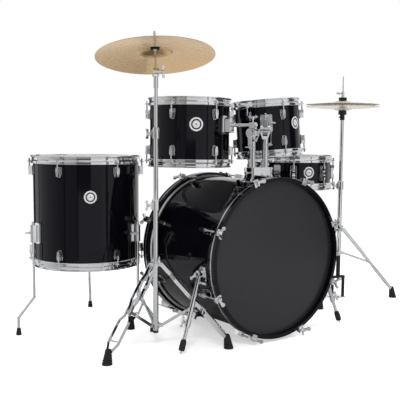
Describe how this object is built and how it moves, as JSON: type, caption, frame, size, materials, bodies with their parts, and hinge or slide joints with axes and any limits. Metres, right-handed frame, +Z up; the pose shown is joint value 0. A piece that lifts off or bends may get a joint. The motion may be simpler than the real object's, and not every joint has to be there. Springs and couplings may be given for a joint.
{
  "type": "acoustic drum kit",
  "caption": "Acoustic drum kit: bass drum with spurs and pedal, two rack toms, floor tom, snare drum, crash cymbal and hi-hat on chromed stands.",
  "frame": {"origin": "on the floor under the middle of the bass pedal's base plate", "axes": "+Z up, drummer on the +Y side, bass drum's front head faces -Y, hi-hat at +X"},
  "size_m": [1.7208, 0.9116, 1.1008],
  "materials": {
    "shell": "gloss black lacquer",
    "hoop_wood": "gloss black lacquer with a silver inlay",
    "bass_head": "smooth black film",
    "head": "coated white film",
    "chrome": "polished chrome",
    "crash_bronze": "lathed bronze",
    "hats_bronze": "brilliant bronze",
    "beater": "chromed shaft with a white felt head",
    "footboard": "cast and polished"
  },
  "bodies": {
    "kit": {"bass_shell": "shell", "bass_heads": "bass_head", "bass_hoops": "hoop_wood", "bass_lugs": "chrome", "bass_claws": "chrome", "tom_mount_block": "chrome", "floor_tom_shell": "shell", "floor_tom_hoops": "chrome", "floor_tom_heads": "head", "floor_tom_lugs": "chrome", "snare_stand_base": "chrome", "crash_lower_tube": "chrome", "hihat_stand": "chrome", "pedal_base": "chrome"},
    "spur_left": {"spur_left_sleeve": "chrome"},
    "spur_left_inner": {"spur_left_leg": "chrome"},
    "spur_right": {"spur_right_sleeve": "chrome"},
    "spur_right_inner": {"spur_right_leg": "chrome"},
    "left_post_body": {"left_post": "chrome"},
    "left_tilter_body": {"left_tilter": "chrome"},
    "left_arm_body": {"left_arm": "chrome"},
    "tom12": {"tom12_shell": "shell", "tom12_hoops": "chrome", "tom12_heads": "head", "tom12_lugs": "chrome"},
    "right_post_body": {"right_post": "chrome"},
    "right_tilter_body": {"right_tilter": "chrome"},
    "right_arm_body": {"right_arm": "chrome"},
    "tom10": {"tom10_shell": "shell", "tom10_hoops": "chrome", "tom10_heads": "head", "tom10_lugs": "chrome"},
    "floor_leg_1": {"floor_tom_leg_1": "chrome"},
    "floor_leg_2": {"floor_tom_leg_2": "chrome"},
    "floor_leg_3": {"floor_tom_leg_3": "chrome"},
    "snare_tube": {"snare_stand_tube": "chrome"},
    "snare": {"snare_basket": "chrome", "snare_shell": "shell", "snare_hoops": "chrome", "snare_heads": "head", "snare_fittings": "chrome"},
    "snare_throw_body": {"snare_throw_lever": "chrome"},
    "crash_middle": {"crash_middle_tube": "chrome"},
    "crash_upper": {"crash_upper_tube": "chrome"},
    "crash_tilter_body": {"crash_tilter": "chrome"},
    "crash_cymbal_body": {"crash_cymbal": "crash_bronze"},
    "crash_collar_body": {"crash_collar": "chrome"},
    "crash_leg_1_body": {"crash_leg_1": "chrome"},
    "crash_brace_1_body": {"crash_brace_1": "chrome"},
    "crash_leg_2_body": {"crash_leg_2": "chrome"},
    "crash_brace_2_body": {"crash_brace_2": "chrome"},
    "crash_leg_3_body": {"crash_leg_3": "chrome"},
    "crash_brace_3_body": {"crash_brace_3": "chrome"},
    "hihat_upper": {"hihat_upper_tube": "chrome", "hihat_bottom_cymbal": "hats_bronze"},
    "hihat_rod": {"hihat_pull_rod": "chrome", "hihat_top_cymbal": "hats_bronze"},
    "hihat_footboard_body": {"hihat_footboard": "footboard"},
    "beater": {"pedal_beater": "beater"},
    "footboard": {"pedal_footboard": "footboard"}
  },
  "joints": [
    {"name": "spur_left_swing", "type": "hinge", "parent": "kit", "child": "spur_left", "pos_m": [-0.29048, -0.509, 0.264], "axis": [1, 0, 0], "range_deg": [-85, 0]},
    {"name": "spur_left_extend", "type": "slide", "parent": "spur_left", "child": "spur_left_inner", "axis": [-0.3407, -0.0872, -0.9361], "range_m": [-0.035, 0.03]},
    {"name": "spur_right_swing", "type": "hinge", "parent": "kit", "child": "spur_right", "pos_m": [0.29048, -0.509, 0.264], "axis": [1, 0, 0], "range_deg": [-85, 0]},
    {"name": "spur_right_extend", "type": "slide", "parent": "spur_right", "child": "spur_right_inner", "axis": [0.3407, -0.0872, -0.9361], "range_m": [-0.035, 0.03]},
    {"name": "left_post_height", "type": "slide", "parent": "kit", "child": "left_post_body", "axis": [0, 0, 1], "range_m": [0, 0.06]},
    {"name": "left_tilter_swivel", "type": "hinge", "parent": "left_post_body", "child": "left_tilter_body", "pos_m": [-0.03, -0.471, 0.717], "axis": [0, 0, 1], "range_deg": [-3, 20]},
    {"name": "left_arm_tilt", "type": "hinge", "parent": "left_tilter_body", "child": "left_arm_body", "pos_m": [-0.03, -0.471, 0.757], "axis": [-0.9141, -0.4055, 0], "range_deg": [-8, 4]},
    {"name": "tom12_roll", "type": "hinge", "parent": "left_arm_body", "child": "tom12", "pos_m": [-0.03, -0.471, 0.785], "axis": [-0.4055, 0.9141, 0], "range_deg": [-6, 6]},
    {"name": "right_post_height", "type": "slide", "parent": "kit", "child": "right_post_body", "axis": [0, 0, 1], "range_m": [0, 0.06]},
    {"name": "right_tilter_swivel", "type": "hinge", "parent": "right_post_body", "child": "right_tilter_body", "pos_m": [0.03, -0.471, 0.726], "axis": [0, 0, 1], "range_deg": [-20, 3]},
    {"name": "right_arm_tilt", "type": "hinge", "parent": "right_tilter_body", "child": "right_arm_body", "pos_m": [0.03, -0.471, 0.766], "axis": [-0.7361, 0.6769, 0], "range_deg": [-12, 6]},
    {"name": "tom10_roll", "type": "hinge", "parent": "right_arm_body", "child": "tom10", "pos_m": [0.03, -0.471, 0.794], "axis": [0.6769, 0.7361, 0], "range_deg": [-6, 6]},
    {"name": "floor_tom_leg_1_height", "type": "slide", "parent": "kit", "child": "floor_leg_1", "axis": [0, 0, 1], "range_m": [-0.04, 0.08]},
    {"name": "floor_tom_leg_2_height", "type": "slide", "parent": "kit", "child": "floor_leg_2", "axis": [0, 0, 1], "range_m": [-0.04, 0.08]},
    {"name": "floor_tom_leg_3_height", "type": "slide", "parent": "kit", "child": "floor_leg_3", "axis": [0, 0, 1], "range_m": [-0.04, 0.08]},
    {"name": "snare_stand_height", "type": "slide", "parent": "kit", "child": "snare_tube", "axis": [0, 0, 1], "range_m": [-0.03, 0.06]},
    {"name": "snare_basket_tilt", "type": "hinge", "parent": "snare_tube", "child": "snare", "pos_m": [0.499, -0.099, 0.449], "axis": [0, 1, 0], "range_deg": [-5, 8]},
    {"name": "snare_throw", "type": "hinge", "parent": "snare", "child": "snare_throw_body", "pos_m": [0.66295, -0.007, 0.604], "axis": [-0.4894, 0.8721, 0], "range_deg": [0, 70]},
    {"name": "crash_middle_height", "type": "slide", "parent": "kit", "child": "crash_middle", "axis": [0, 0, 1], "range_m": [-0.04, 0.12]},
    {"name": "crash_upper_height", "type": "slide", "parent": "crash_middle", "child": "crash_upper", "axis": [0, 0, 1], "range_m": [-0.04, 0.1]},
    {"name": "crash_tilt", "type": "hinge", "parent": "crash_upper", "child": "crash_tilter_body", "pos_m": [-0.404, -0.402, 0.962], "axis": [-0.9336, 0.3584, 0], "range_deg": [-25, 8]},
    {"name": "crash_cymbal_spin", "type": "hinge", "parent": "crash_tilter_body", "child": "crash_cymbal_body", "pos_m": [-0.39752, -0.38511, 1.0471], "axis": [0.0745, 0.1941, 0.9781], "continuous": true},
    {"name": "crash_collar_slide", "type": "slide", "parent": "kit", "child": "crash_collar_body", "axis": [0, 0, 1], "range_m": [0, 0.1167]},
    {"name": "crash_leg_1_fold", "type": "hinge", "parent": "crash_collar_body", "child": "crash_leg_1_body", "pos_m": [-0.42273, -0.409, 0.297], "axis": [0.3502, -0.9367, 0], "range_deg": [0, 36]},
    {"name": "crash_brace_1_fold", "type": "hinge", "parent": "kit", "child": "crash_brace_1_body", "pos_m": [-0.42273, -0.409, 0.077], "axis": [-0.3502, 0.9367, 0], "range_deg": [0, 50.77]},
    {"name": "crash_leg_2_fold", "type": "hinge", "parent": "crash_collar_body", "child": "crash_leg_2_body", "pos_m": [-0.38857, -0.41472, 0.297], "axis": [0.6361, 0.7716, 0], "range_deg": [0, 36]},
    {"name": "crash_brace_2_fold", "type": "hinge", "parent": "kit", "child": "crash_brace_2_body", "pos_m": [-0.38857, -0.41472, 0.077], "axis": [-0.6361, -0.7716, 0], "range_deg": [0, 50.77]},
    {"name": "crash_leg_3_fold", "type": "hinge", "parent": "crash_collar_body", "child": "crash_leg_3_body", "pos_m": [-0.4007, -0.38227, 0.297], "axis": [-0.9863, 0.165, 0], "range_deg": [0, 36]},
    {"name": "crash_brace_3_fold", "type": "hinge", "parent": "kit", "child": "crash_brace_3_body", "pos_m": [-0.4007, -0.38227, 0.077], "axis": [0.9863, -0.165, 0], "range_deg": [0, 50.77]},
    {"name": "hihat_height", "type": "slide", "parent": "kit", "child": "hihat_upper", "axis": [0, 0, 1], "range_m": [-0.06, 0]},
    {"name": "hihat_rod_pull", "type": "slide", "parent": "kit", "child": "hihat_rod", "axis": [0, 0, -1], "range_m": [0, 0.0072], "stiffness_N_per_m": 2000, "springref_m": -0.02},
    {"name": "hihat_footboard_press", "type": "hinge", "parent": "kit", "child": "hihat_footboard_body", "pos_m": [0.76932, 0.06303, 0.014], "axis": [0.9848, -0.1736, 0], "range_deg": [0, 3]},
    {"name": "pedal_beater_swing", "type": "hinge", "parent": "kit", "child": "beater", "pos_m": [0, -0.082, 0.19], "axis": [1, 0, 0], "range_deg": [0, 54], "stiffness_Nm_per_rad": 0.5, "springref_deg": -34.38},
    {"name": "pedal_footboard_press", "type": "hinge", "parent": "kit", "child": "footboard", "pos_m": [0, 0.104, 0.014], "axis": [1, 0, 0], "range_deg": [0, 8.5]}
  ],
  "couplings": [
    {"joint": "crash_leg_1_fold", "follows": "crash_collar_slide", "rad_per_m": 5.3839},
    {"joint": "crash_brace_1_fold", "follows": "crash_collar_slide", "rad_per_m": 7.5926},
    {"joint": "crash_leg_2_fold", "follows": "crash_collar_slide", "rad_per_m": 5.3839},
    {"joint": "crash_brace_2_fold", "follows": "crash_collar_slide", "rad_per_m": 7.5926},
    {"joint": "crash_leg_3_fold", "follows": "crash_collar_slide", "rad_per_m": 5.3839},
    {"joint": "crash_brace_3_fold", "follows": "crash_collar_slide", "rad_per_m": 7.5926},
    {"joint": "hihat_footboard_press", "follows": "hihat_rod_pull", "rad_per_m": 3.8314},
    {"joint": "pedal_footboard_press", "follows": "pedal_beater_swing", "ratio": 0.15}
  ]
}
